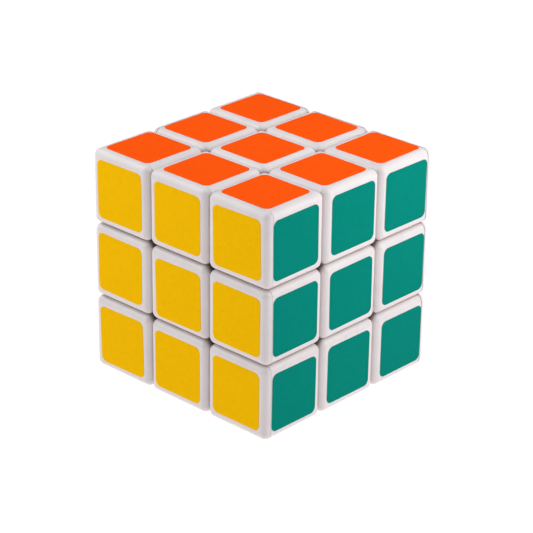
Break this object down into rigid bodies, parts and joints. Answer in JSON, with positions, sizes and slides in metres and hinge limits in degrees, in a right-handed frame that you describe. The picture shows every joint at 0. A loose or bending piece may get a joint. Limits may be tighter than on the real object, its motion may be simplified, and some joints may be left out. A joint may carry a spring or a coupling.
{
  "type": "twisty puzzle cube",
  "caption": "Three-layer twisty puzzle cube of rounded white plastic pieces around a screwed core; each of its six faces turns.",
  "frame": {"origin": "centre of the core, where the six turning axes meet; it is also the centre of the cube", "axes": "+Z towards the top face (orange), -Y towards the front face (yellow), +X towards the right face (green)"},
  "size_m": [0.057, 0.057, 0.057],
  "materials": {
    "shell_plastic": "satin",
    "cap_plastic": "satin",
    "core_plastic": "matte",
    "screw_steel": "satin",
    "washer_steel": "polished",
    "spring_steel": "satin",
    "sticker_orange": "satin",
    "sticker_red": "satin",
    "sticker_yellow": "satin",
    "sticker_black": "satin",
    "sticker_blue": "satin",
    "sticker_green": "satin"
  },
  "bodies": {
    "core": {"core": "core_plastic", "screw_top": "screw_steel", "screw_bottom": "screw_steel", "screw_front": "screw_steel", "screw_back": "screw_steel", "screw_left": "screw_steel", "screw_right": "screw_steel", "washer_top": "washer_steel", "washer_bottom": "washer_steel", "washer_front": "washer_steel", "washer_back": "washer_steel", "washer_left": "washer_steel", "washer_right": "washer_steel"},
    "centre_top": {"centre_base_top": "shell_plastic", "centre_cap_top": "cap_plastic", "spring_top": "spring_steel"},
    "centre_bottom": {"centre_base_bottom": "shell_plastic", "centre_cap_bottom": "cap_plastic", "spring_bottom": "spring_steel"},
    "centre_front": {"centre_base_front": "shell_plastic", "centre_cap_front": "cap_plastic", "spring_front": "spring_steel"},
    "centre_back": {"centre_base_back": "shell_plastic", "centre_cap_back": "cap_plastic", "spring_back": "spring_steel"},
    "centre_left": {"centre_base_left": "shell_plastic", "centre_cap_left": "cap_plastic", "spring_left": "spring_steel"},
    "centre_right": {"centre_base_right": "shell_plastic", "centre_cap_right": "cap_plastic", "spring_right": "spring_steel"},
    "edge_top_front": {"edge_top_front": "shell_plastic"},
    "edge_top_back": {"edge_top_back": "shell_plastic"},
    "edge_top_left": {"edge_top_left": "shell_plastic"},
    "edge_top_right": {"edge_top_right": "shell_plastic"},
    "edge_bottom_front": {"edge_bottom_front": "shell_plastic"},
    "edge_bottom_back": {"edge_bottom_back": "shell_plastic"},
    "edge_bottom_left": {"edge_bottom_left": "shell_plastic"},
    "edge_bottom_right": {"edge_bottom_right": "shell_plastic"},
    "edge_front_left": {"edge_front_left": "shell_plastic"},
    "edge_front_right": {"edge_front_right": "shell_plastic"},
    "edge_back_left": {"edge_back_left": "shell_plastic"},
    "edge_back_right": {"edge_back_right": "shell_plastic"},
    "corner_top_front_left": {"corner_top_front_left": "shell_plastic", "corner_cap_top_front_left": "cap_plastic"},
    "corner_top_front_right": {"corner_top_front_right": "shell_plastic", "corner_cap_top_front_right": "cap_plastic"},
    "corner_top_back_left": {"corner_top_back_left": "shell_plastic", "corner_cap_top_back_left": "cap_plastic"},
    "corner_top_back_right": {"corner_top_back_right": "shell_plastic", "corner_cap_top_back_right": "cap_plastic"},
    "corner_bottom_front_left": {"corner_bottom_front_left": "shell_plastic", "corner_cap_bottom_front_left": "cap_plastic"},
    "corner_bottom_front_right": {"corner_bottom_front_right": "shell_plastic", "corner_cap_bottom_front_right": "cap_plastic"},
    "corner_bottom_back_left": {"corner_bottom_back_left": "shell_plastic", "corner_cap_bottom_back_left": "cap_plastic"},
    "corner_bottom_back_right": {"corner_bottom_back_right": "shell_plastic", "corner_cap_bottom_back_right": "cap_plastic"}
  },
  "joints": [
    {"name": "top_turn", "type": "hinge", "parent": "core", "child": "centre_top", "pos_m": [0, 0, 0], "axis": [0, 0, 1], "continuous": true},
    {"name": "bottom_turn", "type": "hinge", "parent": "core", "child": "centre_bottom", "pos_m": [0, 0, 0], "axis": [0, 0, -1], "continuous": true},
    {"name": "front_turn", "type": "hinge", "parent": "core", "child": "centre_front", "pos_m": [0, 0, 0], "axis": [0, -1, 0], "continuous": true},
    {"name": "back_turn", "type": "hinge", "parent": "core", "child": "centre_back", "pos_m": [0, 0, 0], "axis": [0, 1, 0], "continuous": true},
    {"name": "left_turn", "type": "hinge", "parent": "core", "child": "centre_left", "pos_m": [0, 0, 0], "axis": [-1, 0, 0], "continuous": true},
    {"name": "right_turn", "type": "hinge", "parent": "core", "child": "centre_right", "pos_m": [0, 0, 0], "axis": [1, 0, 0], "continuous": true},
    {"name": "edge_top_front_with_top", "type": "hinge", "parent": "centre_front", "child": "edge_top_front", "pos_m": [0, 0, 0], "axis": [0, 0, 1], "continuous": true},
    {"name": "edge_top_back_with_top", "type": "hinge", "parent": "centre_back", "child": "edge_top_back", "pos_m": [0, 0, 0], "axis": [0, 0, 1], "continuous": true},
    {"name": "edge_top_left_with_left", "type": "hinge", "parent": "centre_top", "child": "edge_top_left", "pos_m": [0, 0, 0], "axis": [-1, 0, 0], "continuous": true},
    {"name": "edge_top_right_with_right", "type": "hinge", "parent": "centre_top", "child": "edge_top_right", "pos_m": [0, 0, 0], "axis": [1, 0, 0], "continuous": true},
    {"name": "edge_bottom_front_with_bottom", "type": "hinge", "parent": "centre_front", "child": "edge_bottom_front", "pos_m": [0, 0, 0], "axis": [0, 0, -1], "continuous": true},
    {"name": "edge_bottom_back_with_bottom", "type": "hinge", "parent": "centre_back", "child": "edge_bottom_back", "pos_m": [0, 0, 0], "axis": [0, 0, -1], "continuous": true},
    {"name": "edge_bottom_left_with_left", "type": "hinge", "parent": "centre_bottom", "child": "edge_bottom_left", "pos_m": [0, 0, 0], "axis": [-1, 0, 0], "continuous": true},
    {"name": "edge_bottom_right_with_right", "type": "hinge", "parent": "centre_bottom", "child": "edge_bottom_right", "pos_m": [0, 0, 0], "axis": [1, 0, 0], "continuous": true},
    {"name": "edge_front_left_with_front", "type": "hinge", "parent": "centre_left", "child": "edge_front_left", "pos_m": [0, 0, 0], "axis": [0, -1, 0], "continuous": true},
    {"name": "edge_front_right_with_front", "type": "hinge", "parent": "centre_right", "child": "edge_front_right", "pos_m": [0, 0, 0], "axis": [0, -1, 0], "continuous": true},
    {"name": "edge_back_left_with_back", "type": "hinge", "parent": "centre_left", "child": "edge_back_left", "pos_m": [0, 0, 0], "axis": [0, 1, 0], "continuous": true},
    {"name": "edge_back_right_with_back", "type": "hinge", "parent": "centre_right", "child": "edge_back_right", "pos_m": [0, 0, 0], "axis": [0, 1, 0], "continuous": true},
    {"name": "corner_top_front_left_with_top", "type": "hinge", "parent": "edge_front_left", "child": "corner_top_front_left", "pos_m": [0, 0, 0], "axis": [0, 0, 1], "continuous": true},
    {"name": "corner_top_front_right_with_top", "type": "hinge", "parent": "edge_front_right", "child": "corner_top_front_right", "pos_m": [0, 0, 0], "axis": [0, 0, 1], "continuous": true},
    {"name": "corner_top_back_left_with_top", "type": "hinge", "parent": "edge_back_left", "child": "corner_top_back_left", "pos_m": [0, 0, 0], "axis": [0, 0, 1], "continuous": true},
    {"name": "corner_top_back_right_with_top", "type": "hinge", "parent": "edge_back_right", "child": "corner_top_back_right", "pos_m": [0, 0, 0], "axis": [0, 0, 1], "continuous": true},
    {"name": "corner_bottom_front_left_with_bottom", "type": "hinge", "parent": "edge_front_left", "child": "corner_bottom_front_left", "pos_m": [0, 0, 0], "axis": [0, 0, -1], "continuous": true},
    {"name": "corner_bottom_front_right_with_bottom", "type": "hinge", "parent": "edge_front_right", "child": "corner_bottom_front_right", "pos_m": [0, 0, 0], "axis": [0, 0, -1], "continuous": true},
    {"name": "corner_bottom_back_left_with_bottom", "type": "hinge", "parent": "edge_back_left", "child": "corner_bottom_back_left", "pos_m": [0, 0, 0], "axis": [0, 0, -1], "continuous": true},
    {"name": "corner_bottom_back_right_with_bottom", "type": "hinge", "parent": "edge_back_right", "child": "corner_bottom_back_right", "pos_m": [0, 0, 0], "axis": [0, 0, -1], "continuous": true}
  ],
  "couplings": [
    {"joint": "edge_top_front_with_top", "follows": "top_turn", "ratio": 1},
    {"joint": "edge_top_back_with_top", "follows": "top_turn", "ratio": 1},
    {"joint": "edge_top_left_with_left", "follows": "left_turn", "ratio": 1},
    {"joint": "edge_top_right_with_right", "follows": "right_turn", "ratio": 1},
    {"joint": "edge_bottom_front_with_bottom", "follows": "bottom_turn", "ratio": 1},
    {"joint": "edge_bottom_back_with_bottom", "follows": "bottom_turn", "ratio": 1},
    {"joint": "edge_bottom_left_with_left", "follows": "left_turn", "ratio": 1},
    {"joint": "edge_bottom_right_with_right", "follows": "right_turn", "ratio": 1},
    {"joint": "edge_front_left_with_front", "follows": "front_turn", "ratio": 1},
    {"joint": "edge_front_right_with_front", "follows": "front_turn", "ratio": 1},
    {"joint": "edge_back_left_with_back", "follows": "back_turn", "ratio": 1},
    {"joint": "edge_back_right_with_back", "follows": "back_turn", "ratio": 1},
    {"joint": "corner_top_front_left_with_top", "follows": "top_turn", "ratio": 1},
    {"joint": "corner_top_front_right_with_top", "follows": "top_turn", "ratio": 1},
    {"joint": "corner_top_back_left_with_top", "follows": "top_turn", "ratio": 1},
    {"joint": "corner_top_back_right_with_top", "follows": "top_turn", "ratio": 1},
    {"joint": "corner_bottom_front_left_with_bottom", "follows": "bottom_turn", "ratio": 1},
    {"joint": "corner_bottom_front_right_with_bottom", "follows": "bottom_turn", "ratio": 1},
    {"joint": "corner_bottom_back_left_with_bottom", "follows": "bottom_turn", "ratio": 1},
    {"joint": "corner_bottom_back_right_with_bottom", "follows": "bottom_turn", "ratio": 1}
  ]
}
